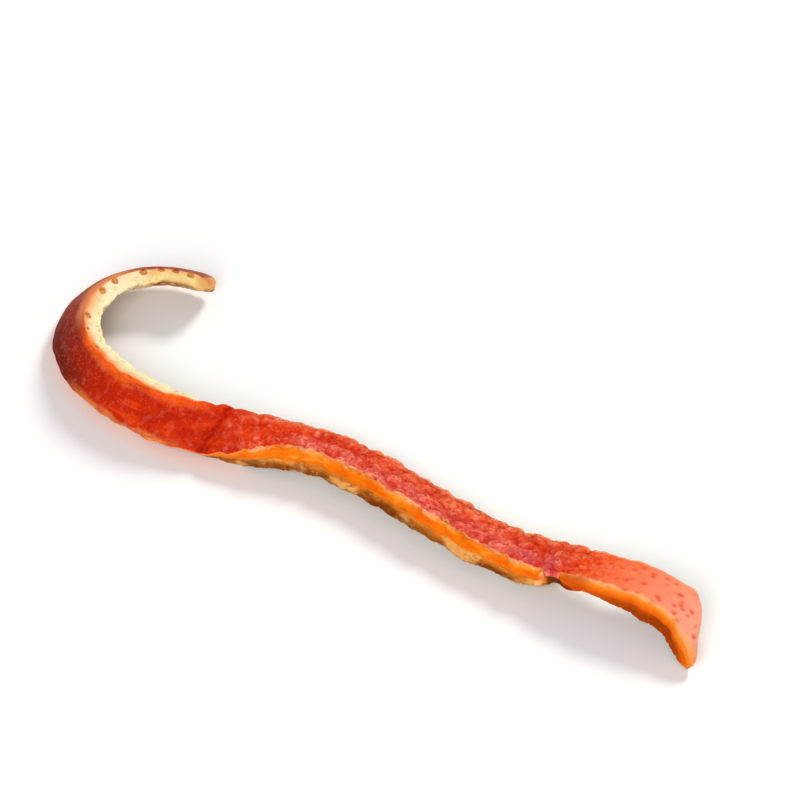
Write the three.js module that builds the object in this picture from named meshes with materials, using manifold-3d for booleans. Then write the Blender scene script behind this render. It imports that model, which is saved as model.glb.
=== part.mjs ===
// A strip of dried orange peel: coloured skin over thick pith, cut along both edges.
//
// The strip is modelled straight first: a box as long, wide and thick as the peel,
// with worn corners, wavering edges, a thin round tip and a creased skin. It is then
// bent along its length: a hook at the tip, a sharp twist that turns the skin from
// facing sideways to facing up, a long run, and an end that droops.
//
// Millimetres, +Z up. The origin is the middle of the bounding box, on the surface
// that the strip rests on. Along the strip, "inner" is the edge inside the hook.

import * as THREE from 'three';
import { mergeVertices } from 'three/addons/utils/BufferGeometryUtils.js';
import Module from 'manifold-3d';

const { clamp, degToRad, lerp, smoothstep } = THREE.MathUtils;

// The strip laid out straight
const LENGTH = 118; // along its bends
const WIDTH = 6.0; // from one cut edge to the other
const TIP_THICKNESS = 2.0; // skin and pith together, at the tip
const RUN_THICKNESS = 3.3; // the same, past the hook
const THICKENING_LENGTH = 48; // how far the strip takes to reach its full thickness
const CORNER_RADIUS = 0.25; // worn corners of the section
const SKIN_CROWN = 0.15; // the skin keeps a little of the fruit's roundness
const THIN_PITH = { along: 98.5, depth: 1.3, halfWidth: 5.5 }; // torn away past the kink

// Ends: the tip is round, and the other end is cut off at a slant to a blunt point
const TIP_ROUNDING = 2.0; // over this length
const END_ROUNDING = 2.7;
const BLUNTNESS = 0.4; // share of the width and thickness left on each end's face
const SKIN_TUCK = 0.7; // share of the lost thickness that the skin side loses
const SLANT_LENGTH = 8; // over which the inner edge comes in
const SLANT_DEPTH = 5.2; // how far it comes in

// Wavering of the two cut edges and of the torn pith: how far and over what length
const EDGE_WAVER = { height: 0.16, wavelength: 6.1 };
const PITH_WAVER = { height: 0.2, wavelength: 8.3 };
const OUTER_PHASE = 2.9; // where each one's waves start, so that no two match
const INNER_PHASE = 0.4;
const PITH_PHASE = 1.7;
const PITH_LEAN = 3; // the pith's waves run slantwise across the strip

// Creases across the skin, where the strip was folded. Each crosses the middle of the
// strip at its place along it, and leans further along for each millimetre inwards.
const CREASES = [
  { name: 'twist', along: 48.8, lean: 0.58, depth: 0.4, halfWidth: 1.1 },
  { name: 'kink', along: 92.8, lean: -0.1, depth: 0.3, halfWidth: 1.2 },
];

// How the strip lies at places along it, from its tip to its blunt end: where it heads
// as seen from above, how steeply it climbs, and how far its inner edge is lifted, all
// in degrees. Each was judged by eye.
const STATIONS = [
  { name: 'tip', along: 3, heading: 160, rise: 0, roll: 45 },
  { name: 'top of the hook', along: 11, heading: 203, rise: 0, roll: 45 },
  { name: 'shoulder', along: 17, heading: 238, rise: 1, roll: 50 },
  { name: 'side of the hook', along: 22, heading: 262, rise: 1, roll: 50 },
  { name: 'lower side', along: 27, heading: 290, rise: 1, roll: 55 },
  { name: 'foot of the hook', along: 33, heading: 312, rise: 0, roll: 60 },
  { name: 'way out of the hook', along: 40, heading: 327, rise: 0, roll: 60 },
  { name: 'start of the twist', along: 45, heading: 345, rise: -1, roll: 50 },
  { name: 'middle of the twist', along: 50, heading: 360, rise: -1, roll: 30 },
  { name: 'end of the twist', along: 54, heading: 360, rise: -2, roll: 0 },
  { name: 'start of the run', along: 58, heading: 348, rise: -2, roll: -18 },
  { name: 'shallow bend', along: 64, heading: 327, rise: 0, roll: -18 },
  { name: 'middle of the run', along: 75, heading: 318, rise: 0, roll: -18 },
  { name: 'end of the run', along: 86, heading: 323, rise: 1, roll: -12 },
  { name: 'kink', along: 92, heading: 330, rise: 8, roll: -5 },
  { name: 'top of the kink', along: 100, heading: 335, rise: 8, roll: -8 },
  { name: 'droop', along: 108, heading: 332, rise: -8, roll: -8 },
  { name: 'blunt point', along: 115, heading: 300, rise: -30, roll: -15 },
];
const EASE = 2; // corners between stations are evened out over this far to either side

// Mesh
const STEP = 1.0; // spacing of the cross-sections
const ACROSS = 6; // faces across the skin
const THROUGH = 3; // faces through the thickness
const FLAT_DEPTH = 0.2; // shaved off where the strip rests

// Three waves whose lengths never line up
function waver({ height, wavelength }, along, phase) {
  const turn = (2 * Math.PI * along) / wavelength;
  const long = 0.5 * Math.sin(turn + phase);
  const middle = 0.3 * Math.sin(1.83 * turn + 2.3 * phase);
  const short = 0.2 * Math.sin(2.71 * turn + 4.1 * phase);
  return height * (long + middle + short);
}

// 1 along the strip, falling in a quarter circle to the bluntness at both of its ends
function endShare(along) {
  const fromTip = Math.min(along / TIP_ROUNDING, 1);
  const fromEnd = Math.min((LENGTH - along) / END_ROUNDING, 1);
  const roundness = Math.sqrt(1 - (1 - fromTip) ** 2) * Math.sqrt(1 - (1 - fromEnd) ** 2);
  return lerp(BLUNTNESS, 1, roundness);
}

// Middle and half width of the strip at a place along it
function spanAt(along) {
  const cut = SLANT_DEPTH * smoothstep(along, LENGTH - SLANT_LENGTH, LENGTH);
  return { middle: -cut / 2, halfWidth: ((WIDTH - cut) / 2) * endShare(along) };
}

// Depth of the skin and thickness below it, at a place along the strip
function layersAt(along) {
  const grown = smoothstep(along, 0, THICKENING_LENGTH);
  const away = (along - THIN_PITH.along) / THIN_PITH.halfWidth;
  const torn = THIN_PITH.depth * Math.exp(-away * away);
  const full = lerp(TIP_THICKNESS, RUN_THICKNESS, grown) - torn;
  const lost = full * (1 - endShare(along));
  return { skin: lost * SKIN_TUCK, thickness: full - lost };
}

// How deep the folds press the skin in, at a place on it
function creaseDepth(along, across) {
  let depth = 0;
  for (const crease of CREASES) {
    const away = (along - crease.along - crease.lean * across) / crease.halfWidth;
    depth += crease.depth * Math.exp(-away * away);
  }
  return depth;
}

// Rounds the corners of a section whose skin is at depth 0
function roundCorners(across, depth, halfWidth, thickness) {
  const radius = Math.min(CORNER_RADIUS, 0.45 * thickness, halfWidth);
  const coreAcross = clamp(across, radius - halfWidth, halfWidth - radius);
  const coreDepth = clamp(depth, radius, thickness - radius);
  const corner = new THREE.Vector2(across - coreAcross, depth - coreDepth);
  if (corner.length() > radius) {
    corner.setLength(radius);
  }
  return { across: coreAcross + corner.x, depth: coreDepth + corner.y };
}

// The straight strip: x runs along it, y from the outer to the inner edge, and z from
// the pith up to the skin, which lies at z = 0
function straightStrip() {
  const strip = new THREE.BoxGeometry(LENGTH, 2, 1, Math.round(LENGTH / STEP), ACROSS, THROUGH);
  const position = strip.attributes.position;
  for (let i = 0; i < position.count; i += 1) {
    const along = position.getX(i) + LENGTH / 2;
    const side = position.getY(i); // -1 at the outer edge, 1 at the inner edge
    const sunk = 0.5 - position.getZ(i); // 0 on the skin, 1 on the pith
    const { middle, halfWidth } = spanAt(along);
    const { skin, thickness } = layersAt(along);
    const spread = side * (1.5 - 0.5 * side * side); // crowds the faces at the corners
    const section = roundCorners(spread * halfWidth, sunk * thickness, halfWidth, thickness);
    const across = middle + section.across;
    const edge = side * waver(EDGE_WAVER, along, side > 0 ? INNER_PHASE : OUTER_PHASE);
    const dent = (SKIN_CROWN * side * side + creaseDepth(along, across)) * (1 - sunk);
    const tear = waver(PITH_WAVER, along + PITH_LEAN * across, PITH_PHASE) * sunk;
    position.setXYZ(i, along, across + edge, -skin - section.depth - dent - tear);
  }
  return strip;
}

// One angle of the strip's lie, straight from station to station
function between(angle, along) {
  const next = STATIONS.findIndex((station) => station.along > along);
  if (next < 1) {
    return STATIONS.at(next)[angle];
  }
  const [before, after] = STATIONS.slice(next - 1, next + 1);
  const share = (along - before.along) / (after.along - before.along);
  return lerp(before[angle], after[angle], share);
}

// The same angle with its corners evened out, in radians
function evened(angle, along) {
  let sum = 0;
  for (let shift = -EASE; shift <= EASE; shift += 1) {
    sum += between(angle, along + shift);
  }
  return degToRad(sum / (2 * EASE + 1));
}

// How the strip lies at a place: x along it, y to its inner edge, z out of its skin
function attitudeAt(along) {
  const [roll, rise, heading] = ['roll', 'rise', 'heading'].map((angle) => evened(angle, along));
  return new THREE.Quaternion().setFromEuler(new THREE.Euler(roll, -rise, heading, 'ZYX'));
}

// The bent strip's centreline: a point and an attitude for every step along it
function bentCentreline() {
  let point = new THREE.Vector3();
  const centreline = [{ point, attitude: attitudeAt(0) }];
  for (let along = STEP; along <= LENGTH; along += STEP) {
    const stride = new THREE.Vector3(STEP, 0, 0);
    point = point.clone().add(stride.applyQuaternion(attitudeAt(along - STEP / 2)));
    centreline.push({ point, attitude: attitudeAt(along) });
  }
  return centreline;
}

// Carries every point of the straight strip to its place on the bent centreline
function bend(strip) {
  const centreline = bentCentreline();
  const position = strip.attributes.position;
  for (let i = 0; i < position.count; i += 1) {
    const nearest = Math.round(position.getX(i) / STEP);
    const { point, attitude } = centreline[Math.min(nearest, centreline.length - 1)];
    const along = position.getX(i) - nearest * STEP;
    const offset = new THREE.Vector3(along, position.getY(i), position.getZ(i));
    offset.applyQuaternion(attitude).add(point);
    position.setXYZ(i, offset.x, offset.y, offset.z);
  }
  return strip;
}

// Stands the strip on z = 0, sunk by the depth of its flats, with its box centred
function settle(strip) {
  strip.computeBoundingBox();
  const { min, max } = strip.boundingBox;
  strip.translate(-(min.x + max.x) / 2, -(min.y + max.y) / 2, -min.z - FLAT_DEPTH);
  return strip;
}

function toManifold(wasm, geometry) {
  const bare = geometry.clone();
  bare.deleteAttribute('normal');
  bare.deleteAttribute('uv');
  const merged = mergeVertices(bare, 1e-5);
  return new wasm.Manifold(
    new wasm.Mesh({
      numProp: 3,
      vertProperties: new Float32Array(merged.attributes.position.array),
      triVerts: new Uint32Array(merged.index.array),
    }),
  );
}

function toGeometry(manifold) {
  const mesh = manifold.getMesh();
  const geometry = new THREE.BufferGeometry();
  geometry.setAttribute('position', new THREE.BufferAttribute(mesh.vertProperties, 3));
  geometry.setIndex(new THREE.BufferAttribute(mesh.triVerts, 1));
  geometry.computeVertexNormals();
  return geometry;
}

// Cuts off what lies below z = 0, which leaves small flats to rest on
async function cutFlats(strip) {
  const wasm = await Module();
  wasm.setup();
  const below = new THREE.BoxGeometry(4 * LENGTH, 4 * LENGTH, LENGTH);
  below.translate(0, 0, -LENGTH / 2);
  return toGeometry(toManifold(wasm, strip).subtract(toManifold(wasm, below)));
}

const peel = new THREE.MeshStandardMaterial({ color: 0xd9481f, roughness: 0.55, metalness: 0 });
const strip = new THREE.Mesh(await cutFlats(settle(bend(straightStrip()))), peel);
strip.name = 'orange_peel';

const group = new THREE.Group();
group.add(strip);

export default group;
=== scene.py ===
"""The looks of a strip of dried orange peel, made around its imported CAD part.

The strip is one fine closed mesh. It starts as a box of small faces, is given the
section, edges and ends of the peel while it is still straight, gets its wrinkles,
dimples, open oil glands and torn pith, and is then bent as the CAD solid is. Every
point keeps its place on the straight strip, and the colours are laid out along it.

Lengths are in millimetres until a mesh is placed, because the strip is that small;
properties and finished meshes are in metres.
"""

import math

import bmesh
import bpy
import numpy as np
from mathutils import Euler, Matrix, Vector, noise


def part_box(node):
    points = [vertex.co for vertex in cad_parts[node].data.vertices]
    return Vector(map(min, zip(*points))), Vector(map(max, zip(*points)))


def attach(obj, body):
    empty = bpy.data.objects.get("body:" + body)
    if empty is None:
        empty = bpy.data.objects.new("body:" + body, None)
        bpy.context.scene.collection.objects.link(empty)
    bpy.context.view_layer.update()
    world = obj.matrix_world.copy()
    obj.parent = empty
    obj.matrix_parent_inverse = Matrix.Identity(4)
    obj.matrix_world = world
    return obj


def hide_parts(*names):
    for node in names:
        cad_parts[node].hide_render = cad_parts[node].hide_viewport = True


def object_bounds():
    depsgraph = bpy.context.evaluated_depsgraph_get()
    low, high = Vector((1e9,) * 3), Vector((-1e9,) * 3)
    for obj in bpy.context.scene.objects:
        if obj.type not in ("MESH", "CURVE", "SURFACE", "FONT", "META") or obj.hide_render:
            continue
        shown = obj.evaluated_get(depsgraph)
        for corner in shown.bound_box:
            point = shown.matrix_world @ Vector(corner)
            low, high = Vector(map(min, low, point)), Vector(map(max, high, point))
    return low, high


bl_info = {
    "name": "Dried Orange Peel",
    "version": (1, 0, 0),
    "blender": (4, 5, 0),
    "location": "3D View > Sidebar > Peel",
    "description": "Makes a strip of dried orange peel and its stage",
    "category": "Object",
}

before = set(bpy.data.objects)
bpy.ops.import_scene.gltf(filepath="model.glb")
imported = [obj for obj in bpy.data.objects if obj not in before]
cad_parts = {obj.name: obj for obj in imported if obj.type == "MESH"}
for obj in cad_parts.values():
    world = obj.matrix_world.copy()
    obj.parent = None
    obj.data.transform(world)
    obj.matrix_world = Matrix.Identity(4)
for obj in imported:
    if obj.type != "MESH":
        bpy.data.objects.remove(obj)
CAD_BOX = [list(corner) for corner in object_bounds()]
NODE = "orange_peel"
MM = 0.001

# The straight strip, as in the CAD part
LENGTH = 118
WIDTH = 6.0
TIP_THICKNESS = 2.0
RUN_THICKNESS = 3.3
THICKENING_LENGTH = 48
CORNER_RADIUS = 0.25
SKIN_CROWN = 0.15
THIN_PITH = (98.5, 1.3, 5.5)  # place along, depth and half width of the torn pith
TIP_ROUNDING = 2.0
END_ROUNDING = 2.7
BLUNTNESS = 0.4
SKIN_TUCK = 0.7
SLANT_LENGTH = 8
SLANT_DEPTH = 5.2
EDGE_WAVER = (0.16, 6.1)  # height and wavelength
PITH_WAVER = (0.2, 8.3)
OUTER_PHASE = 2.9
INNER_PHASE = 0.4
PITH_PHASE = 1.7
PITH_LEAN = 3

# Folds across the skin: place along, lean, depth and half width
TWIST_FOLD = (48.8, 0.58, 0.4, 1.1)
KINK_FOLD = (92.8, -0.1, 0.3, 1.2)
FOLDS = (TWIST_FOLD, KINK_FOLD)

# How the strip lies at places along it, from its tip, as in the CAD part: place along,
# heading seen from above, rise, and lift of the inner edge, in degrees
STATIONS = (
    (3, 160, 0, 45),  # tip
    (11, 203, 0, 45),  # top of the hook
    (17, 238, 1, 50),  # shoulder
    (22, 262, 1, 50),  # side of the hook
    (27, 290, 1, 55),  # lower side
    (33, 312, 0, 60),  # foot of the hook
    (40, 327, 0, 60),  # way out of the hook
    (45, 345, -1, 50),  # start of the twist
    (50, 360, -1, 30),  # middle of the twist
    (54, 360, -2, 0),  # end of the twist
    (58, 348, -2, -18),  # start of the run
    (64, 327, 0, -18),  # shallow bend
    (75, 318, 0, -18),  # middle of the run
    (86, 323, 1, -12),  # end of the run
    (92, 330, 8, -5),  # kink
    (100, 335, 8, -8),  # top of the kink
    (108, 332, -8, -8),  # droop
    (115, 300, -30, -15),  # blunt point
)
EASE = 2  # corners between stations are evened out over this far to either side

# Faces of the fine mesh
FACES_ALONG = 810
FACES_ACROSS = 40
FACES_THROUGH = 20

# Where the hook ends and the run begins, for what changes from one to the other
HOOK_STOP = 46
RUN_START = 56

# Open oil glands in the inner cut face: place along, depth below the skin, half length
# and half height
GLANDS = (
    (2.2, 0.45, 0.45, 0.28),
    (4.2, 0.3, 0.55, 0.26),
    (6.3, 0.28, 0.5, 0.24),
    (9.0, 0.45, 0.6, 0.38),
    (13.9, 0.5, 0.5, 0.42),
    (16.6, 0.62, 0.58, 0.48),
    (22.4, 0.6, 0.7, 0.46),
    (25.6, 0.5, 0.35, 0.22),
    (29.5, 0.55, 0.4, 0.25),
)
GLAND_DEPTH = 0.36

# Dark stains on the outer cut face, the one at 73.5 partly painted shadow: place along,
# depth below the skin, half length and half height
STAINS_AND_SHADOWS = (
    (53.0, 2.5, 2.0, 0.7),
    (58.5, 2.9, 1.2, 0.4),
    (73.5, 2.9, 3.4, 0.7),
    (87.5, 3.0, 2.4, 0.4),
    (97.2, 1.9, 1.0, 0.4),
)

# Where the kink pinches the outer edge in: place along, and half length
KINK_CLEFT = (95.2, 1.0)
KINK_RIDGE = 94.4  # place along of a pale line down the cut face, beside the cleft

# The stage, in metres and watts. Lights: where they stand, their size, power and tint
KEY_LIGHT = ((0.3, 0.36, 0.42), 0.2, 2.6, (1.0, 0.98, 0.95))
FILL_LIGHT = ((-0.15, -0.5, 0.4), 0.4, 2.9, (1.0, 1.0, 1.0))
WORLD_STRENGTH = 0.36
FLOOR_RADIUS = 2.5
FLOOR_DROP = 0.00002  # keeps the floor just clear of the flats that rest on it


def rgb(code):
    """A colour from its hex code, as the linear values that shaders take."""
    parts = [int(code[i : i + 2], 16) / 255 for i in (0, 2, 4)]
    linear = [p / 12.92 if p <= 0.04045 else ((p + 0.055) / 1.055) ** 2.4 for p in parts]
    return (*linear, 1.0)


# ---------------------------------------------------------------- the straight strip


def smoothstep(values, low, high):
    share = np.clip((values - low) / (high - low), 0, 1)
    return share * share * (3 - 2 * share)


def mix(a, b, share):
    return a + (b - a) * share


def waver(wave, along, phase):
    """Three waves whose lengths never line up."""
    height, wavelength = wave
    turn = 2 * math.pi * along / wavelength
    long = 0.5 * np.sin(turn + phase)
    middle = 0.3 * np.sin(1.83 * turn + 2.3 * phase)
    short = 0.2 * np.sin(2.71 * turn + 4.1 * phase)
    return height * (long + middle + short)


def end_share(along):
    """1 along the strip, falling in a quarter circle to the bluntness at its ends."""
    from_tip = np.clip(along / TIP_ROUNDING, 0, 1)
    from_end = np.clip((LENGTH - along) / END_ROUNDING, 0, 1)
    roundness = np.sqrt(1 - (1 - from_tip) ** 2) * np.sqrt(1 - (1 - from_end) ** 2)
    return mix(BLUNTNESS, 1, roundness)


def span_at(along, width):
    """Middle and half width of the strip."""
    cut = SLANT_DEPTH * smoothstep(along, LENGTH - SLANT_LENGTH, LENGTH)
    return -cut / 2, (width - cut) / 2 * end_share(along)


def layers_at(along, tip_thickness, run_thickness):
    """Depth of the skin and thickness below it."""
    place, depth, half_width = THIN_PITH
    torn = depth * np.exp(-(((along - place) / half_width) ** 2))
    full = mix(tip_thickness, run_thickness, smoothstep(along, 0, THICKENING_LENGTH)) - torn
    lost = full * (1 - end_share(along))
    return lost * SKIN_TUCK, full - lost


def fold_depth(along, across):
    depth = 0
    for place, lean, deep, half_width in FOLDS:
        depth = depth + deep * np.exp(-(((along - place - lean * across) / half_width) ** 2))
    return depth


def round_corners(across, depth, half_width, thickness):
    """Rounds the corners of a section whose skin is at depth 0."""
    radius = np.minimum(np.minimum(CORNER_RADIUS, 0.45 * thickness), half_width)
    core_across = np.clip(across, radius - half_width, half_width - radius)
    core_depth = np.clip(depth, radius, thickness - radius)
    away = np.hypot(across - core_across, depth - core_depth)
    pull = np.minimum(1, radius / np.maximum(away, 1e-9))
    return core_across + (across - core_across) * pull, core_depth + (depth - core_depth) * pull


def noise_at(points, stretch, seed):
    """Smooth noise from about -1 to 1, with lumps as large as the stretch, in mm."""
    scaled = points / np.array(stretch) + seed * 17.31
    return np.array([noise.noise(p) for p in scaled.tolist()])


def cells_at(points, stretch, seed):
    """Distance to the nearest of scattered points, and to the next nearest."""
    scaled = points / np.array(stretch) + seed * 11.73
    found = [noise.voronoi(p)[0][:2] for p in scaled.tolist()]
    return np.array(found).T


class Place:
    """Where every point of the mesh is on the straight strip."""

    def __init__(self, box, settings):
        self.along = (box[:, 0] + 0.5) * LENGTH
        self.side = 2 * box[:, 1]  # -1 at the outer edge, 1 at the inner edge
        self.sunk = 0.5 - box[:, 2]  # 0 on the skin, 1 on the pith
        middle, half_width = span_at(self.along, settings.width / MM)
        tip, run = settings.tip_thickness / MM, settings.run_thickness / MM
        self.skin, self.thickness = layers_at(self.along, tip, run)
        spread = self.side * (1.2 - 0.2 * self.side**2)
        across, self.depth = round_corners(
            spread * half_width, self.sunk * self.thickness, half_width, self.thickness
        )
        self.across = middle + across
        self.laid_flat = np.column_stack([self.along, self.across, -self.depth])
        self.on_skin = 1 - smoothstep(self.depth, 0.12, 0.5)
        self.on_pith = smoothstep(self.depth, self.thickness - 0.5, self.thickness - 0.12)
        self.in_run = smoothstep(self.along, HOOK_STOP, RUN_START)

    def smooth_shape(self):
        """The points of the straight strip, as the CAD solid has them."""
        phase = np.where(self.side > 0, INNER_PHASE, OUTER_PHASE)
        edge = self.side * waver(EDGE_WAVER, self.along, phase)
        folds = fold_depth(self.along, self.across)
        dent = (SKIN_CROWN * self.side**2 + folds) * (1 - self.sunk)
        tear = waver(PITH_WAVER, self.along + PITH_LEAN * self.across, PITH_PHASE) * self.sunk
        height = -self.skin - self.depth - dent - tear
        return np.column_stack([self.along, self.across + edge, height])


# ------------------------------------------------------------------- bending it


def attitude_at(along):
    """How the strip lies: x along it, y to its inner edge, z out of its skin."""
    places, *angles = zip(*STATIONS)
    around = along + np.arange(-EASE, EASE + 1)
    evened = (np.interp(around, places, angle).mean() for angle in angles)
    heading, rise, roll = map(math.radians, evened)
    return Euler((roll, -rise, heading), "XYZ").to_quaternion()


def bent_centreline(steps):
    """The bent strip's centreline: a point and an attitude for every step along it."""
    step = LENGTH / steps
    point = Vector((0, 0, 0))
    points = [point]
    attitudes = [attitude_at(0)]
    for i in range(steps):
        point = point + attitude_at((i + 0.5) * step) @ Vector((step, 0, 0))
        points.append(point)
        attitudes.append(attitude_at((i + 1) * step))
    return np.array(points), np.array([a.to_matrix() for a in attitudes])


def bend(points, centreline):
    """Carries points of the straight strip to their places on the bent centreline."""
    places, attitudes = centreline
    step = LENGTH / (len(places) - 1)
    nearest = np.clip(np.rint(points[:, 0] / step), 0, len(places) - 1).astype(int)
    offset = points.copy()
    offset[:, 0] -= nearest * step
    return places[nearest] + np.einsum("nij,nj->ni", attitudes[nearest], offset)


def move_to_cad(points):
    """The move that lays the bent strip where its CAD solid is."""
    lowest, highest = (np.array(corner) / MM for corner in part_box(NODE))
    centre = (points.min(0) + points.max(0)) / 2
    to = (lowest + highest) / 2 - centre
    to[2] = highest[2] - points[:, 2].max()
    return to


# ------------------------------------------------------------------------ relief


def crevices(place):
    """Fine creases of the crumpled skin, long ones, and the pebbles between: 0 to 1."""
    warped = place.laid_flat.copy()
    warped[:, 0] += 0.45 * noise_at(place.laid_flat, (0.9, 1.2, 9), 3)
    warped[:, 1] += 0.5 * noise_at(place.laid_flat, (0.9, 1.2, 9), 4)
    near, further = cells_at(warped, (1.15, 1.5, 9), 1)
    small_near, small_further = cells_at(warped, (0.6, 0.8, 9), 17)
    fine = 1 - smoothstep(further - near, 0.0, 0.26)
    finer = 1 - smoothstep(small_further - small_near, 0.0, 0.26)
    wide = noise_at(warped, (5.5, 1.9, 9), 2)
    pebble = 1 - smoothstep(near, 0.05, 0.55)
    return np.maximum(fine, 0.75 * finer), np.exp(-((wide / 0.13) ** 2)), pebble


def fold_lines(place):
    """Sharp cracks in the bottom of the fold at the twist, from 0 to 1."""
    start, lean, _, _ = TWIST_FOLD
    wiggle = 0.4 * noise_at(place.laid_flat, (1.4, 1.1, 9), 19)
    away = place.along - start - lean * place.across + wiggle
    breaks = 0.55 + 0.6 * noise_at(place.laid_flat, (2.0, 0.8, 9), 21)
    main = np.exp(-(((away + 0.1) / 0.2) ** 2))
    side = 0.8 * np.exp(-(((away - 0.85 - 0.15 * place.across) / 0.16) ** 2))
    other = 0.6 * np.exp(-(((away + 0.9 + 0.2 * place.across) / 0.16) ** 2))
    lines = np.maximum(main, np.maximum(side, other) * np.clip(breaks, 0, 1))
    return lines * (1 - smoothstep(np.abs(place.side), 0.85, 1.0))


def dimples(place):
    """Sunken oil glands under the skin: 1 at the middle of each, 0 between them."""
    near, _ = cells_at(place.laid_flat, (1.3, 1.05, 9), 5)
    return 1 - smoothstep(near, 0.14, 0.44)


def gland_bowls(place):
    """Open oil glands in the inner cut face: bowl depth from 0 to 1, and colour mask."""
    bowl = np.zeros(len(place.along))
    mask = np.zeros(len(place.along))
    uneven = 1 + 0.3 * noise_at(place.laid_flat, (0.5, 0.5, 0.4), 15)
    facing = smoothstep(place.side, 0.75, 0.97)
    for along, depth, half_length, half_height in GLANDS:
        away = np.hypot((place.along - along) / half_length, (place.depth - depth) / half_height)
        away = away * uneven
        bowl = np.maximum(bowl, facing * np.sqrt(np.clip(1 - away**2, 0, 1)))
        mask = np.maximum(mask, facing * (1 - smoothstep(away, 0.7, 1.15)))
    return bowl, mask


def stain_and_shadow_mask(place):
    """1 where the outer cut face is darkened by stains and by painted shadow, 0 elsewhere."""
    mask = np.zeros(len(place.along))
    uneven = 1 + 0.5 * noise_at(place.laid_flat, (0.9, 9, 0.6), 24)
    for along, depth, half_length, half_height in STAINS_AND_SHADOWS:
        away = np.hypot((place.along - along) / half_length, (place.depth - depth) / half_height)
        mask = np.maximum(mask, 1 - smoothstep(away * uneven, 0.4, 1.3))
    return mask * (place.side < 0)


def skin_relief(place, settings):
    """Height of the skin in mm, how hollow it is, and where its pebble tops take a painted
    highlight, each mask from 0 to 1.
    """
    fine, wide, pebble = crevices(place)
    pit = dimples(place)
    at_end = smoothstep(place.along, 94, 103)
    crumpled = place.in_run * mix(1, 0.15, at_end)
    dimpled = mix(0.25, 0.2, place.in_run) + 0.8 * at_end
    grit = noise_at(place.laid_flat, (0.42, 0.36, 9), 6)
    swell = noise_at(place.laid_flat, (1.7, 2.1, 9), 16)
    cracks = fold_lines(place)
    at_edge = 1 - 0.6 * smoothstep(np.abs(place.side), 0.72, 0.95)
    furrow = np.maximum(0.6 * fine * at_edge, wide)
    height = -settings.crease_depth / MM * np.maximum(crumpled * furrow, cracks)
    height -= settings.dimple_depth / MM * dimpled * pit
    height += mix(0.012, 0.03, crumpled) * grit + 0.2 * mix(0.25, 1, crumpled) * swell
    height += 0.06 * crumpled * pebble
    hollow = crumpled * (0.7 * fine + 0.5 * wide - 0.35 * swell) + 0.8 * at_end * pit
    some = smoothstep(noise_at(place.laid_flat, (2.6, 1.7, 9), 23), -0.25, 0.4)
    # Tops of some pebbles, for a painted highlight in the colours
    pebble_highlight = crumpled * pebble * some * (1 - fine)
    return height, np.clip(np.maximum(hollow, cracks), 0, 1), pebble_highlight


def cut_relief(place):
    """Height of the cut faces in mm, and how hollow they are."""
    grain = noise_at(place.laid_flat, (0.6, 9, 0.42), 7)
    fine = noise_at(place.laid_flat, (0.3, 9, 0.26), 8)
    swell = noise_at(place.laid_flat, (2.6, 9, 1.1), 9)
    outer = smoothstep(-place.side, -0.2, 0.2)
    pithy = smoothstep(place.depth + 0.25 * swell, mix(0.7, 1.5, outer), mix(1.3, 2.0, outer))
    rough = mix(mix(0.6, 0.12, outer), 1, pithy)
    height = rough * (0.08 * grain + 0.035 * fine) + 0.05 * swell
    height -= 0.24 * outer * pithy
    hollow = np.clip(-0.9 * grain - 0.5 * fine, 0, 1) * rough
    return height, hollow


def pith_relief(place):
    """Height of the torn pith in mm, and how hollow it is."""
    lumps = noise_at(place.laid_flat, (3.2, 1.9, 9), 10)
    grain = noise_at(place.laid_flat, (1.3, 0.7, 9), 11)
    fine = noise_at(place.laid_flat, (0.42, 0.3, 9), 12)
    near, further = cells_at(place.laid_flat, (2.4, 1.5, 9), 13)
    crack = 1 - smoothstep(further - near, 0.0, 0.14)
    height = 0.1 * lumps + 0.07 * grain + 0.035 * fine - 0.12 * crack + 0.04
    return height, np.clip(0.6 * crack - 0.7 * grain - 0.3 * fine, 0, 1)


def relief(place, settings):
    """Height of every point over the smooth shape, and the masks that colours need."""
    on_cut = np.clip(1 - place.on_skin - place.on_pith, 0, 1)
    skin_height, skin_hollow, pebble_highlight = skin_relief(place, settings)
    cut_height, cut_hollow = cut_relief(place)
    pith_height, pith_hollow = pith_relief(place)
    bowl, gland = gland_bowls(place)
    height = place.on_skin * skin_height + on_cut * cut_height + place.on_pith * pith_height
    hollow = place.on_skin * skin_hollow + on_cut * cut_hollow + place.on_pith * pith_hollow
    from_ends = smoothstep(place.along, 0, 1.5) * smoothstep(LENGTH - place.along, 0, 1.5)
    # The hollow mask also darkens the colours, as painted shade in creases, cracks and pits; the
    # mask of pebble tops gives them a painted highlight
    masks = {"hollow": hollow, "pebble_highlight": pebble_highlight, "gland": gland, "stain": stain_and_shadow_mask(place)}
    return (height - GLAND_DEPTH * bowl) * from_ends, masks


def lobes(place, spacing, seed):
    """Gaps between the rounded lobes of a skin edge: 1 at each gap, 0 at the lobes."""
    line = np.column_stack([place.along, 0 * place.along, 0 * place.along])
    phase = place.along / spacing + 0.4 * noise_at(line, (4, 1, 1), seed)
    size = 0.65 + 0.5 * noise_at(line, (5, 1, 1), seed + 20)
    return size * (1 - np.abs(np.sin(math.pi * phase))) ** 2


def kink_cleft(place):
    """1 where the outer edge is pinched in at the kink, 0 away from it."""
    along, half_length = KINK_CLEFT
    return np.exp(-(((place.along - along) / half_length) ** 2)) * (place.side < 0)


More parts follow.
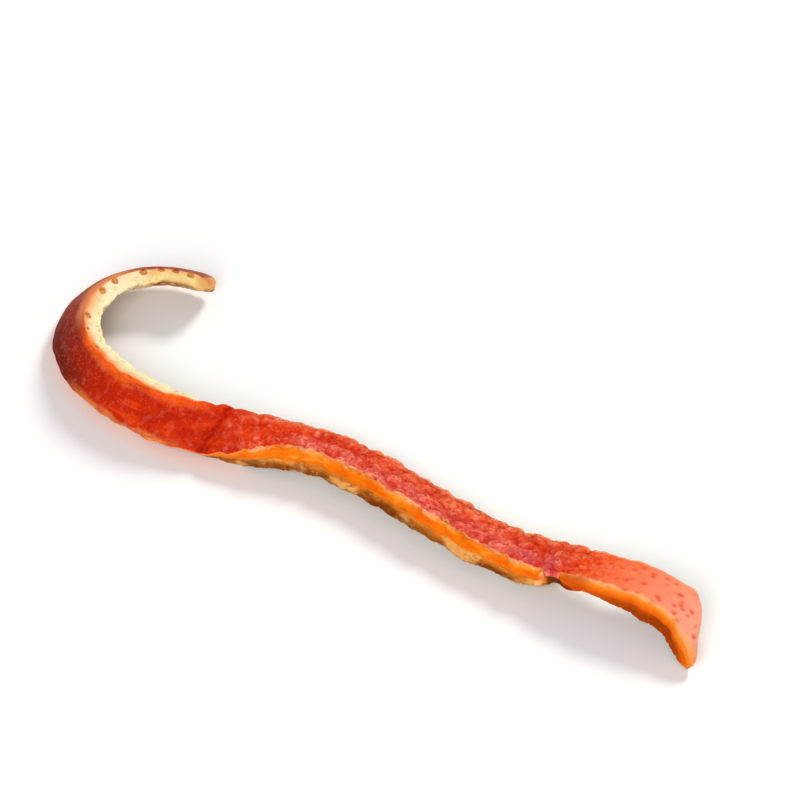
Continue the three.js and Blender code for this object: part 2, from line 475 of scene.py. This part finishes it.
def edge_shift(place):
    """How far across the strip each point moves, for its lobed skin edges and cleft."""
    inner = 0.6 * lobes(place, 2.7, 14) * np.clip(place.side, 0, 1) ** 4
    outer = 0.6 * lobes(place, 3.1, 18) * np.clip(-place.side, 0, 1) ** 4
    near_skin = 1 - smoothstep(place.depth, 0.3, 1.3)
    frilled = mix(0.12, 1, place.in_run) * (1 - 0.85 * smoothstep(place.along, 96, 99))
    cleft = kink_cleft(place) * mix(0.25, 0.95, smoothstep(place.depth, 0.8, 1.5))
    return frilled * near_skin * (outer - inner) + cleft * np.clip(-place.side, 0, 1) ** 3


# --------------------------------------------------------------------- the strip mesh


def box_of_faces(bm):
    """A closed unit box, cut into small faces along its three directions."""
    bmesh.ops.create_cube(bm, size=1.0)
    for axis, faces in enumerate((FACES_ALONG, FACES_ACROSS, FACES_THROUGH)):
        edges = [e for e in bm.edges if abs(e.verts[0].co[axis] - e.verts[1].co[axis]) > 0.5]
        bmesh.ops.subdivide_edges(bm, edges=edges, cuts=faces - 1, use_grid_fill=True)


def read_points(mesh):
    flat = np.empty(3 * len(mesh.vertices))
    mesh.vertices.foreach_get("co", flat)
    return flat.reshape(-1, 3)


def read_normals(mesh):
    flat = np.empty(3 * len(mesh.vertices), np.float32)
    mesh.vertex_normals.foreach_get("vector", flat)
    return flat.reshape(-1, 3).astype(float)


def write_points(mesh, points):
    mesh.vertices.foreach_set("co", points.ravel())
    mesh.update()


def write_attribute(mesh, name, values):
    if values.ndim == 2:
        layer = mesh.attributes.new(name, "FLOAT_VECTOR", "POINT")
        layer.data.foreach_set("vector", values.ravel().astype(np.float32))
    else:
        layer = mesh.attributes.new(name, "FLOAT", "POINT")
        layer.data.foreach_set("value", values.astype(np.float32))


def inside_cad(points):
    """Keeps points, in mm, inside the CAD solid's box, which flattens what rests."""
    lowest, highest = (np.array(corner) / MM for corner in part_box(NODE))
    return np.clip(points, lowest, highest)


def strip_mesh(settings):
    mesh = bpy.data.meshes.new("peel_strip")
    bm = bmesh.new()
    box_of_faces(bm)
    bm.to_mesh(mesh)
    bm.free()
    place = Place(read_points(mesh), settings)
    smooth = place.smooth_shape()
    centreline = bent_centreline(FACES_ALONG)
    to_cad = move_to_cad(bend(smooth, centreline))
    smooth[:, 1] += edge_shift(place)
    write_points(mesh, smooth)
    height, masks = relief(place, settings)
    fine = smooth + read_normals(mesh) * height[:, None]
    write_points(mesh, inside_cad(bend(fine, centreline) + to_cad) * MM)
    write_attribute(mesh, "laid_flat", place.laid_flat)
    write_attribute(mesh, "sunk", place.depth / place.thickness)
    for name, mask in masks.items():
        write_attribute(mesh, name, mask)
    write_attribute(mesh, "cleft", kink_cleft(place))
    write_attribute(mesh, "fold", fold_depth(place.along, place.across) / TWIST_FOLD[2])
    mesh.shade_smooth()
    return mesh


# --------------------------------------------------------------------- node helpers


class Wiring:
    """Adds nodes to one tree. A value is a number, a tuple or another node's socket."""

    def __init__(self, tree):
        self.tree = tree

    def set(self, socket, value):
        if isinstance(value, bpy.types.NodeSocket):
            self.tree.links.new(value, socket)
        else:
            socket.default_value = value

    def node(self, kind, inputs=(), **settings):
        node = self.tree.nodes.new(kind)
        for name, value in settings.items():
            setattr(node, name, value)
        for name, value in dict(inputs).items():
            self.set(node.inputs[name], value)
        return node

    def group(self, tree, inputs):
        return self.node("ShaderNodeGroup", inputs, node_tree=tree).outputs

    def math(self, operation, a, b=0.0):
        return self.node("ShaderNodeMath", {0: a, 1: b}, operation=operation).outputs[0]

    def plus(self, a, b):
        return self.math("ADD", a, b)

    def minus(self, a, b):
        return self.math("SUBTRACT", a, b)

    def times(self, a, b):
        return self.math("MULTIPLY", a, b)

    def between(self, value, low, high):
        """0 below low, 1 above high and smooth in between; low may be above high."""
        names = {"Value": value, "From Min": low, "From Max": high}
        node = self.node("ShaderNodeMapRange", names, interpolation_type="SMOOTHSTEP")
        return node.outputs[0]

    def mix(self, share, a, b):
        settings = {"data_type": "RGBA", "blend_type": "MIX", "clamp_factor": True}
        node = self.node("ShaderNodeMix", {0: share, 6: a, 7: b}, **settings)
        return node.outputs[2]

    def over(self, colour, share, strength, code):
        """Lays a colour over another, by its share times its strength."""
        return self.mix(self.times(share, strength), colour, rgb(code))

    def blend(self, share, a, b):
        node = self.node("ShaderNodeMix", {0: share, 2: a, 3: b}, data_type="FLOAT")
        return node.outputs[0]

    def ramp(self, value, stops, length=1.0):
        """Colours at places from 0 to length."""
        node = self.node("ShaderNodeValToRGB", {0: self.math("DIVIDE", value, length)})
        elements = node.color_ramp.elements
        for _ in stops[2:]:
            elements.new(0.5)
        for element, (place, _) in zip(elements, stops):
            element.position = place / length
        for element, (_, code) in zip(elements, stops):
            element.color = rgb(code)
        return node.outputs[0]

    def noise(self, vector, stretch, detail=2.0, seed=0.0, roughness=0.5):
        """Noise from 0 to 1 whose lumps are as large as the stretch, in mm."""
        scale = tuple(1.0 / size for size in stretch)
        names = {"Vector": vector, "Location": (seed, seed, seed), "Scale": scale}
        mapped = self.node("ShaderNodeMapping", names).outputs[0]
        names = {"Vector": mapped, "Scale": 1.0, "Detail": detail, "Roughness": roughness}
        return self.node("ShaderNodeTexNoise", names).outputs[0]

    def cells(self, vector, stretch, seed):
        """Distance to the nearest of scattered points, about a stretch apart."""
        scale = tuple(1.0 / size for size in stretch)
        names = {"Vector": vector, "Location": (seed, seed, seed), "Scale": scale}
        mapped = self.node("ShaderNodeMapping", names).outputs[0]
        return self.node("ShaderNodeTexVoronoi", {"Vector": mapped, "Scale": 1.0}).outputs[0]

    def attribute(self, name, output="Fac"):
        return self.node("ShaderNodeAttribute", attribute_name=name).outputs[output]

    def parts(self, vector):
        node = self.node("ShaderNodeSeparateXYZ", {0: vector})
        return node.outputs[0], node.outputs[1], node.outputs[2]


KINDS = {"vector": "NodeSocketVector", "value": "NodeSocketFloat", "colour": "NodeSocketColor"}


def new_group(name, inputs, outputs):
    """An empty node group with its sockets, and the nodes that hold them."""
    tree = bpy.data.node_groups.new(name, "ShaderNodeTree")
    for label, kind in inputs:
        tree.interface.new_socket(label, in_out="INPUT", socket_type=KINDS[kind])
    for label, kind in outputs:
        tree.interface.new_socket(label, in_out="OUTPUT", socket_type=KINDS[kind])
    wiring = Wiring(tree)
    given = wiring.node("NodeGroupInput").outputs
    result = wiring.node("NodeGroupOutput").inputs
    return tree, wiring, given, result


# ------------------------------------------------------------------------- finishes


# Colours of the skin at places along the strip
SKIN_COLOURS = (
    (0, "9c5036"),
    (10, "9c422c"),
    (15, "a43c26"),
    # From 20 to 30 the dark maroon is partly the peel's own colour and partly painted shade on the
    # hook's side
    (20, "a0301a"),
    (25, "961e0a"),
    (30, "ae2003"),
    (36, "c82602"),
    (46, "d02c06"),
    (50, "d8340e"),
    (56, "f6501a"),
    (66, "fa6436"),
    (78, "fc7644"),
    (90, "f66c3a"),
    (95, "f25e2e"),
    (98, "ff6424"),
    (103, "f47448"),
    (108, "f58c68"),
    (113, "f8a082"),
    (118, "f0a088"),
)

# Tints of the skin: across the strip, where none shows and where all of it does; where
# it sets in along the strip; where it is gone and where it starts to go; and its colour
SKIN_TINTS = (
    ((-1.0, 1.8), (9, 13), (20, 16), "ea8850"),
    ((0.8, 2.5), (13, 16), (26, 21), "f28e58"),
    # Dark maroon toward the outer edge of the hook's side: partly the peel's own colour, partly
    # painted shade
    ((0.5, -1.5), (17, 23), (33, 27), "7a1e0c"),
    # Orange along the inner edge of the hook: painted glow
    ((1.4, 3.0), (22, 27), (50, 44), "ff6a1c"),
    ((-1.9, -2.7), (28, 34), (46, 41), "f48c48"),
    # Pink over the outer half of the run: a painted sheen
    ((0.9, -0.9), (54, 62), (97, 92), "fa7e6a"),
    ((1.3, 2.7), (50, 55), (99, 92), "fb9060"),
)


def skin_group():
    """Colour, roughness and fine height of the coloured skin."""
    tree, w, given, result = new_group(
        "Dried skin",
        [
            ("Laid Flat", "vector"),
            ("Hollow", "value"),
            ("Pebble Highlight", "value"),
            ("Fold", "value"),
            ("Red", "colour"),
        ],
        [("Color", "colour"), ("Roughness", "value"), ("Height", "value")],
    )
    flat = given["Laid Flat"]
    true_along, true_across, _ = w.parts(flat)
    drift = w.minus(w.noise(flat, (3.5, 1.6, 5.0), detail=3, seed=1.0), 0.5)
    across = w.plus(true_across, w.times(drift, 2.4))
    along = w.plus(true_along, w.times(drift, 4.0))
    in_run = w.times(w.between(along, HOOK_STOP + 2, RUN_START), w.between(along, 104, 97))
    colour = w.ramp(along, SKIN_COLOURS, LENGTH)

    def tint(share, first, last, code):
        """Blends a colour in, by its share, over part of the strip's length."""
        here = w.times(w.between(along, *first), w.between(along, *last))
        return w.over(colour, share, here, code)

    for edges, first, last, code in SKIN_TINTS:
        colour = tint(w.between(across, *edges), first, last, code)
    pinched = w.times(w.between(across, 0.4, -0.8), 0.7)
    colour = tint(pinched, (89, 91), (97, 95), "d2505a")
    streaks = w.noise(flat, (4.0, 1.0, 5.0), detail=4, seed=17.0, roughness=0.6)
    side = w.times(w.between(along, 28, 38), w.between(along, 60, 50))
    streaked = w.times(w.between(streaks, 0.48, 0.62), side)
    colour = w.over(colour, streaked, 0.5, "a81410")
    glowing = w.times(w.between(streaks, 0.46, 0.36), side)
    colour = w.over(colour, glowing, 0.6, "ee4812")
    # Pale pink patches, strongest on the run: a painted sheen
    pink_sheen = w.between(w.noise(flat, (0.9, 1.3, 5.0), detail=4, seed=3.0), 0.5, 0.66)
    colour = w.over(colour, pink_sheen, w.blend(in_run, 0.1, 0.5), "ff9c80")
    mottle = w.noise(flat, (1.7, 1.5, 5.0), detail=4, seed=7.0, roughness=0.6)
    mottled = w.times(w.between(mottle, 0.5, 0.62), in_run)
    colour = w.mix(w.times(mottled, 0.6), colour, given["Red"])
    # Painted shade: the crevices, fold cracks and dimples are darkened to deep red by the hollow
    # mask
    deep = w.mix(w.between(along, 46, 54), rgb("840e02"), rgb("ca1a04"))
    deep = w.mix(w.between(along, 97, 103), deep, rgb("e0441c"))
    colour = w.mix(w.times(given["Hollow"], 0.8), colour, deep)
    # Painted shade darkening the skin in the fold at the twist
    fold_shade = w.times(w.between(given["Fold"], 0.2, 1.1), 0.4)
    colour = w.mix(fold_shade, colour, rgb("be1a04"))
    # Painted highlight, pale coral, on the pebble tops
    colour = w.over(colour, given["Pebble Highlight"], 0.65, "ffa080")
    brim = w.plus(w.math("ABSOLUTE", true_across), w.times(drift, 0.7))
    brim = w.times(w.between(brim, 2.35, 2.75), w.between(along, 52, 60))
    beside = w.math("ABSOLUTE", w.minus(true_along, KINK_CLEFT[0]))
    brim = w.times(brim, w.between(beside, 1.2, 2.2))
    colour = w.over(colour, brim, 0.75, "ffa878")
    # Thin dark-red lines along fine wrinkles: painted shade in them, where the height dips too
    wrinkles = w.minus(w.noise(flat, (1.3, 0.8, 5.0), detail=3, seed=21.0), 0.5)
    wrinkle = w.times(w.between(w.math("ABSOLUTE", wrinkles), 0.022, 0.004), in_run)
    colour = w.over(colour, wrinkle, 0.55, "bc1c0c")
    grit = w.noise(flat, (0.24, 0.3, 5.0), detail=2, seed=11.0)
    speckled = w.blend(w.between(along, 25, 35), 0.45, 0.2)
    lit = w.times(w.between(grit, 0.6, 0.75), speckled)
    colour = w.mix(lit, colour, rgb("ffac90"))
    dull = w.times(w.between(grit, 0.42, 0.3), w.between(along, 104, 97))
    colour = w.over(colour, dull, 0.35, "8c1406")
    dot = w.between(w.cells(flat, (6.5, 3.1, 30.0), seed=5.0), 0.06, 0.03)
    colour = w.over(colour, dot, 0.8, "4a1410")
    w.set(result["Color"], colour)
    rough = w.blend(w.noise(flat, (0.6, 0.5, 5.0), seed=2.0), 0.45, 0.65)
    w.set(result["Roughness"], w.plus(rough, w.times(given["Hollow"], 0.15)))
    pores = w.noise(flat, (0.3, 0.24, 5.0), detail=3, seed=9.0, roughness=0.6)
    w.set(result["Height"], w.minus(pores, w.times(wrinkle, 0.35)))
    return tree


CUT_DEPTH = 3.4  # the colours of the cut faces are given down to this depth


def outer_cut_colour(w, along, depth):
    """Orange under the skin, then tan and brown pith; redder past the kink."""
    # The brown toward the bottom of the face is partly the pith's own colour and partly painted
    # shade
    run = w.ramp(
        depth,
        [
            (0.1, "ffac78"),
            (0.34, "fc8c28"),
            (0.65, "fb7a08"),
            (1.5, "fa7806"),
            (1.8, "e87a1a"),
            (2.3, "c87026"),
            (2.8, "a0561a"),
            (3.3, "6e340e"),
        ],
        CUT_DEPTH,
    )
    end = w.ramp(
        depth,
        [
            (0.1, "ffa868"),
            (0.35, "fc8e2c"),
            (0.7, "fa7c0e"),
            (1.2, "ea6408"),
            (1.7, "d25608"),
            (2.2, "b84804"),
            (2.8, "9c3804"),
        ],
        CUT_DEPTH,
    )
    # The dark red-brown deep on the face past the kink, and below the band at the drooping end, is
    # partly painted shade
    below = w.times(w.between(depth, 1.25, 1.75), w.between(along, 106, 110))
    end = w.over(end, below, 0.85, "983402")
    end = w.over(end, w.between(along, 101, 98), 0.7, "c64204")
    arc = w.plus(along, w.times(depth, 0.5))
    ridge = w.between(w.math("ABSOLUTE", w.minus(arc, KINK_RIDGE)), 0.55, 0.15)
    run = w.over(run, ridge, 0.8, "fcb478")
    return w.mix(w.between(along, 94, 97), run, end)


def inner_cut_colour(w, along, depth):
    """Peach under the skin, then cream pith; more golden toward the tip."""
    cream = w.ramp(
        depth,
        [
            (0.08, "ee9058"),
            (0.26, "f4a86e"),
            (0.6, "f6c890"),
            (1.1, "fae0b0"),
            (1.8, "fdf0be"),
            (2.7, "fcf0bc"),
        ],
        CUT_DEPTH,
    )
    glow = w.times(w.between(along, 26, 29), w.between(along, 34, 31))
    glow = w.times(glow, w.between(depth, 1.5, 0.3))
    cream = w.mix(glow, cream, rgb("f8843a"))
    tip = w.ramp(
        depth,
        [
            (0.08, "b87048"),
            (0.2, "eeb078"),
            (0.5, "fed08a"),
            (1.1, "ffe6a0"),
            (1.6, "fcd890"),
            (1.8, "c48e4c"),
            (2.0, "80501c"),
        ],
        CUT_DEPTH,
    )
    both = w.mix(w.between(along, 16, 9), cream, tip)
    palest = w.times(w.between(along, 7, 10), w.between(along, 19, 15))
    palest = w.times(palest, w.between(depth, 0.05, 0.35))
    return w.over(both, palest, 0.65, "fff4cc")


def cut_group():
    """Colour, roughness and fine height of the two cut edges."""
    tree, w, given, result = new_group(
        "Cut edge",
        [
            ("Laid Flat", "vector"),
            ("Hollow", "value"),
            ("Gland", "value"),
            ("Stain", "value"),
            ("Cleft", "value"),
        ],
        [("Color", "colour"), ("Roughness", "value"), ("Height", "value")],
    )
    flat = given["Laid Flat"]
    along, across, height = w.parts(flat)
    to_inner = w.between(across, -0.6, 0.6)
    to_outer = w.minus(1.0, to_inner)
    height = w.times(height, w.blend(w.between(along, 108, 117), 1.0, 0.55))
    ragged = w.minus(w.noise(flat, (2.6, 9.0, 1.6), detail=5, seed=4.0), 0.5)
    strength = w.blend(w.between(along, 100, 96), 0.5, 1.6)
    depth = w.minus(w.times(ragged, strength), height)
    thin = w.times(w.between(height, -0.9, -0.3), to_inner)
    depth = w.blend(thin, depth, w.minus(w.times(ragged, 0.35), height))
    colour = w.mix(to_inner, outer_cut_colour(w, along, depth), inner_cut_colour(w, along, depth))
    golden = w.times(w.between(along, 1.8, 0.4), 0.7)
    colour = w.mix(golden, colour, rgb("e09a4c"))
    gloss = w.noise(flat, (2.4, 9.0, 0.9), detail=4, seed=12.0)
    before_kink = w.times(w.between(along, 98, 94), to_outer)
    band = w.times(w.between(depth, 1.7, 1.3), before_kink)
    bright = w.times(band, w.between(gloss, 0.54, 0.66))
    colour = w.over(colour, bright, 0.6, "ffa83c")
    amber = w.times(band, w.between(gloss, 0.47, 0.36))
    colour = w.over(colour, amber, 0.75, "f06000")
    sandy = w.between(w.noise(flat, (6.0, 9.0, 3.0), detail=3, seed=19.0), 0.5, 0.6)
    sandy = w.times(sandy, w.between(depth, 1.5, 2.0))
    colour = w.over(colour, sandy, w.times(before_kink, 0.7), "fcbc68")
    stain = w.noise(flat, (1.3, 9.0, 0.6), detail=5, seed=8.0, roughness=0.65)
    marks = w.times(w.between(stain, 0.53, 0.66), w.between(depth, 1.3, 2.0))
    mark = w.mix(to_inner, rgb("8a4412"), rgb("d09c58"))
    colour = w.mix(w.times(marks, w.blend(to_inner, 0.75, 0.5)), colour, mark)
    chalk = w.noise(flat, (0.9, 9.0, 0.4), detail=4, seed=15.0, roughness=0.6)
    pale = w.times(w.between(chalk, 0.55, 0.68), w.between(depth, 1.6, 2.1))
    pale = w.times(pale, w.between(along, 97, 92))
    colour = w.over(colour, pale, 0.3, "fac878")
    # Painted shade: the pits of the cut faces are darkened
    pit_shade = w.mix(to_inner, rgb("c06a20"), rgb("e0b070"))
    colour = w.mix(w.times(given["Hollow"], 0.45), colour, pit_shade)
    # Dark stains, with painted shadow beneath the band at 73.5
    colour = w.over(colour, given["Stain"], 0.75, "702c02")
    # A darker rim round each open gland: painted shade in the bowl; the middle is lighter
    rim = w.times(w.between(given["Gland"], 0.0, 0.55), 0.8)
    colour = w.mix(rim, colour, rgb("bc6c2c"))
    colour = w.mix(w.between(given["Gland"], 0.6, 1.0), colour, rgb("e6a050"))
    # Painted shade, dark red-brown, in the cleft at the kink
    cleft = w.between(w.plus(given["Cleft"], w.times(ragged, 0.9)), 0.25, 0.6)
    colour = w.over(colour, cleft, 0.85, "5c2408")
    w.set(result["Color"], colour)
    w.set(result["Roughness"], w.blend(w.between(depth, 0.9, 1.7), 0.45, 0.85))
    w.set(result["Height"], w.noise(flat, (0.34, 9.0, 0.2), detail=4, seed=6.0, roughness=0.65))
    return tree


def pith_group():
    """Colour, roughness and fine height of the torn pith."""
    tree, w, given, result = new_group(
        "Torn pith",
        [("Laid Flat", "vector"), ("Hollow", "value"), ("Cream", "colour")],
        [("Color", "colour"), ("Roughness", "value"), ("Height", "value")],
    )
    flat = given["Laid Flat"]
    along, across, _ = w.parts(flat)
    patches = w.noise(flat, (5.0, 2.6, 9.0), detail=3, seed=1.0)
    tan = w.ramp(patches, [(0.3, "a5763c"), (0.45, "cfa463"), (0.58, "e0c48c"), (0.72, "f3e6c8")])
    clean = w.times(w.between(along, 50, 40), w.between(across, 0.5, 2.4))
    colour = w.mix(w.times(clean, 0.85), tan, given["Cream"])
    stain = w.noise(flat, (1.5, 0.8, 9.0), detail=4, seed=2.0, roughness=0.6)
    stained = w.times(w.between(stain, 0.54, 0.7), w.minus(1.0, clean))
    colour = w.mix(stained, colour, rgb("8f5a2c"))
    # Dark brown near the outer edge at the twist: partly the pith's own colour, partly painted
    # shade
    rim = w.times(w.between(across, -1.6, -2.8), w.between(along, 44, 56))
    colour = w.over(colour, rim, 0.7, "6c3f1e")
    # Dark red-brown on the pith at the drooping end: partly painted shade on the underside
    red_end = w.times(w.between(along, 92, 100), 0.75)
    colour = w.mix(red_end, colour, rgb("7a3216"))
    dark_tip = w.times(w.between(along, 14, 6), 0.5)
    colour = w.mix(dark_tip, colour, rgb("7a4a26"))
    # Painted shade in the pith's cracks and hollows
    colour = w.over(colour, given["Hollow"], 0.6, "6f431f")
    w.set(result["Color"], colour)
    w.set(result["Roughness"], w.blend(patches, 0.8, 0.98))
    fibres = w.noise(flat, (0.9, 0.14, 9.0), detail=3, seed=5.0, roughness=0.6)
    w.set(result["Height"], fibres)
    return tree


def peel_material(settings):
    material = bpy.data.materials.new("dried_peel")
    material.use_nodes = True
    material.node_tree.nodes.clear()
    w = Wiring(material.node_tree)
    flat = w.attribute("laid_flat", "Vector")
    common = {"Laid Flat": flat, "Hollow": w.attribute("hollow")}
    skin_inputs = {"Fold": w.attribute("fold"), "Red": tuple(settings.red)}
    skin_inputs["Pebble Highlight"] = w.attribute("pebble_highlight")
    cut_inputs = {name.title(): w.attribute(name) for name in ("gland", "stain", "cleft")}
    pith_inputs = {"Cream": tuple(settings.cream)}
    skin = w.group(skin_group(), {**common, **skin_inputs})
    cut = w.group(cut_group(), {**common, **cut_inputs})
    pith = w.group(pith_group(), {**common, **pith_inputs})

    along, across, height = w.parts(flat)
    ragged = w.noise(flat, (0.9, 0.9, 0.9), detail=3, seed=13.0)
    wander = w.minus(ragged, 0.5)
    wander = w.times(wander, w.blend(w.between(along, 96, 100), 0.3, 0.1))
    scallops = w.noise(flat, (2.6, 30.0, 30.0), detail=2, seed=16.0)
    spill = w.times(w.between(scallops, 0.45, 0.7), w.between(across, 0, -1))
    spill = w.times(spill, w.between(along, 54, 60))
    spill = w.times(spill, w.between(along, 98, 95))
    depth = w.minus(wander, w.plus(height, w.times(spill, 0.45)))
    brink = w.noise(flat, (2.2, 30.0, 30.0), detail=3, seed=18.0)
    brink = w.plus(across, w.times(w.minus(brink, 0.5), 2.0))
    bared = w.times(w.between(brink, -2.5, -2.8), w.between(along, 50, 56))
    depth = w.plus(depth, w.times(bared, 0.4))
    pinched = w.plus(w.attribute("cleft"), w.times(wander, 1.5))
    depth = w.minus(depth, w.times(w.between(pinched, 0.25, 0.55), 1.35))
    past_skin = w.between(depth, 0.05, 0.15)
    past_skin = w.math("MAXIMUM", past_skin, w.between(along, 0.7, 0.3))
    past_cut = w.between(w.plus(w.attribute("sunk"), wander), 0.94, 1.0)
    colour = w.mix(past_cut, w.mix(past_skin, skin["Color"], cut["Color"]), pith["Color"])
    rough = w.blend(past_skin, skin["Roughness"], cut["Roughness"])
    rough = w.blend(past_cut, rough, pith["Roughness"])
    bumps = w.blend(w.between(depth, -0.1, 0.6), skin["Height"], cut["Height"])
    bumps = w.blend(w.between(w.attribute("sunk"), 0.7, 1.0), bumps, pith["Height"])
    bump = w.node("ShaderNodeBump", {"Strength": 0.8, "Distance": 0.00025, "Height": bumps})
    shader = w.node(
        "ShaderNodeBsdfPrincipled",
        {
            "Base Color": colour,
            "Roughness": rough,
            "Normal": bump.outputs[0],
            "Subsurface Weight": 0.12,
            "Subsurface Radius": (1.0, 0.35, 0.12),
            "Subsurface Scale": 0.0005,
            "Specular IOR Level": 0.05,
            "Specular Tint": (1.0, 0.6, 0.4, 1.0),
        },
    )
    output = w.node("ShaderNodeOutputMaterial")
    w.set(output.inputs["Surface"], shader.outputs[0])
    return material


def floor_material(settings):
    material = bpy.data.materials.new("pale_floor")
    material.use_nodes = True
    material.node_tree.nodes.clear()
    w = Wiring(material.node_tree)
    place = w.node("ShaderNodeTexCoord").outputs["Object"]
    cloud = w.node("ShaderNodeTexNoise", {"Vector": place, "Scale": 9.0, "Detail": 2.0}).outputs[0]
    base = tuple(settings.floor)
    colour = w.mix(cloud, base, tuple(0.985 * part for part in base[:3]) + (1.0,))
    shader = w.node("ShaderNodeBsdfPrincipled", {"Base Color": colour, "Roughness": 0.7})
    output = w.node("ShaderNodeOutputMaterial")
    w.set(output.inputs["Surface"], shader.outputs[0])
    return material


# ------------------------------------------------------------------- stage and camera


def floor_mesh():
    mesh = bpy.data.meshes.new("floor")
    bm = bmesh.new()
    bmesh.ops.create_circle(bm, cap_ends=True, segments=96, radius=FLOOR_RADIUS)
    bmesh.ops.translate(bm, verts=bm.verts, vec=(0, 0, -FLOOR_DROP))
    bm.to_mesh(mesh)
    bm.free()
    return mesh


def area_light(name, at, size, power, tint):
    """A disc of light that faces the middle of the floor."""
    data = bpy.data.lights.new(name, "AREA")
    data.shape = "DISK"
    data.size = size
    data.energy = power
    data.color = tint
    light = bpy.data.objects.new(name, data)
    bpy.context.scene.collection.objects.link(light)
    light.location = at
    light.rotation_mode = "QUATERNION"
    light.rotation_quaternion = (-Vector(at)).to_track_quat("-Z", "Y")
    return light


def white_world(strength):
    world = bpy.data.worlds.new("soft_studio")
    world.use_nodes = True
    world.node_tree.nodes.clear()
    w = Wiring(world.node_tree)
    names = {"Color": (1.0, 1.0, 1.0, 1.0), "Strength": strength}
    background = w.node("ShaderNodeBackground", names)
    output = w.node("ShaderNodeOutputWorld")
    w.set(output.inputs["Surface"], background.outputs[0])
    bpy.context.scene.world = world


def stage_camera(settings):
    data = bpy.data.cameras.new("camera")
    data.sensor_width = 36.0
    data.lens = data.sensor_width * settings.camera_distance / settings.view_width
    data.clip_start = 0.05
    data.clip_end = 20.0
    camera = bpy.data.objects.new("camera", data)
    bpy.context.scene.collection.objects.link(camera)
    rise = settings.camera_elevation
    back = Vector((0, -math.cos(rise), math.sin(rise)))
    lowest, highest = (Vector(corner) for corner in CAD_BOX)
    middle = Vector(((lowest.x + highest.x) / 2, (lowest.y + highest.y) / 2, lowest.z))
    target = middle + Vector((settings.aim_right, settings.aim_back, 0))
    camera.location = target + back * settings.camera_distance
    camera.rotation_euler = (math.pi / 2 - rise, 0, 0)
    bpy.context.scene.camera = camera


# ------------------------------------------------------------------------ add-on parts


def metres(name, description, default):
    """A length setting."""
    return bpy.props.FloatProperty(
        name=name,
        description=description,
        default=default,
        min=0.0,
        precision=5,
        subtype="DISTANCE",
        unit="LENGTH",
    )


def paint(name, description, code):
    """A colour setting."""
    return bpy.props.FloatVectorProperty(
        name=name,
        description=description,
        default=rgb(code),
        size=4,
        min=0.0,
        max=1.0,
        subtype="COLOR",
    )


class PeelSettings(bpy.types.PropertyGroup):
    """Sizes and colours of the strip."""

    width: metres("Width", "From one cut edge to the other", WIDTH * MM)
    tip_thickness: metres("Tip thickness", "Skin and pith at the tip", TIP_THICKNESS * MM)
    run_thickness: metres("Run thickness", "Skin and pith past the hook", RUN_THICKNESS * MM)
    crease_depth: metres("Crease depth", "How deep the crumpled skin's creases are", 0.00036)
    dimple_depth: metres("Dimple depth", "How deep the sunken oil glands are", 0.00016)
    red: paint("Skin red", "Deep red blotches of the skin", "e83410")
    cream: paint("Pith cream", "The palest pith", "f6e4b4")


class StageSettings(bpy.types.PropertyGroup):
    """The floor, the light and the camera."""

    floor: paint("Floor", "Colour of the floor", "f6f6f6")
    view_width: metres("View width", "Width of the view at the strip", 0.092)
    camera_distance: metres("Camera distance", "From the camera to the strip", 3.0)
    aim_right: metres("Aim right", "The view's centre, right of the strip's", 0.0028)
    aim_back: metres("Aim back", "The view's centre, behind the strip's", 0.0121)
    camera_elevation: bpy.props.FloatProperty(
        name="Camera elevation",
        description="How far above the horizon the camera stands",
        default=math.radians(45),
        subtype="ANGLE",
        unit="ROTATION",
    )


class OBJECT_OT_peel_strip(bpy.types.Operator):
    """Make the strip of dried peel"""

    bl_idname = "object.peel_strip"
    bl_label = "Peel Strip"

    def execute(self, context):
        settings = context.scene.peel
        strip = bpy.data.objects.new("peel_strip", strip_mesh(settings))
        context.scene.collection.objects.link(strip)
        strip.data.materials.append(peel_material(settings))
        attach(strip, "root")
        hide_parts(NODE)
        return {"FINISHED"}


class OBJECT_OT_peel_stage(bpy.types.Operator):
    """Make the floor, the lights and the camera"""

    bl_idname = "object.peel_stage"
    bl_label = "Stage"

    def execute(self, context):
        settings = context.scene.peel_stage
        floor = bpy.data.objects.new("floor", floor_mesh())
        context.scene.collection.objects.link(floor)
        floor.data.materials.append(floor_material(settings))
        white_world(WORLD_STRENGTH)
        area_light("key", *KEY_LIGHT)
        area_light("fill", *FILL_LIGHT)
        stage_camera(settings)
        context.scene.view_settings.view_transform = "Standard"
        return {"FINISHED"}


class VIEW3D_PT_peel(bpy.types.Panel):
    """Lists the strip's settings and the operators that make it"""

    bl_label = "Dried Orange Peel"
    bl_idname = "VIEW3D_PT_peel"
    bl_space_type = "VIEW_3D"
    bl_region_type = "UI"
    bl_category = "Peel"

    def draw(self, context):
        for group, operator in (
            (context.scene.peel, OBJECT_OT_peel_strip.bl_idname),
            (context.scene.peel_stage, OBJECT_OT_peel_stage.bl_idname),
        ):
            column = self.layout.column()
            for name in group.__annotations__:
                column.prop(group, name)
            column.operator(operator)


CLASSES = (
    PeelSettings,
    StageSettings,
    OBJECT_OT_peel_strip,
    OBJECT_OT_peel_stage,
    VIEW3D_PT_peel,
)


def register():
    for cls in CLASSES:
        bpy.utils.register_class(cls)
    bpy.types.Scene.peel = bpy.props.PointerProperty(type=PeelSettings)
    bpy.types.Scene.peel_stage = bpy.props.PointerProperty(type=StageSettings)


def unregister():
    del bpy.types.Scene.peel
    del bpy.types.Scene.peel_stage
    for cls in reversed(CLASSES):
        bpy.utils.unregister_class(cls)


def main():
    register()
    bpy.ops.object.peel_strip()
    bpy.ops.object.peel_stage()
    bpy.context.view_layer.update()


if __name__ == "__main__":
    main()
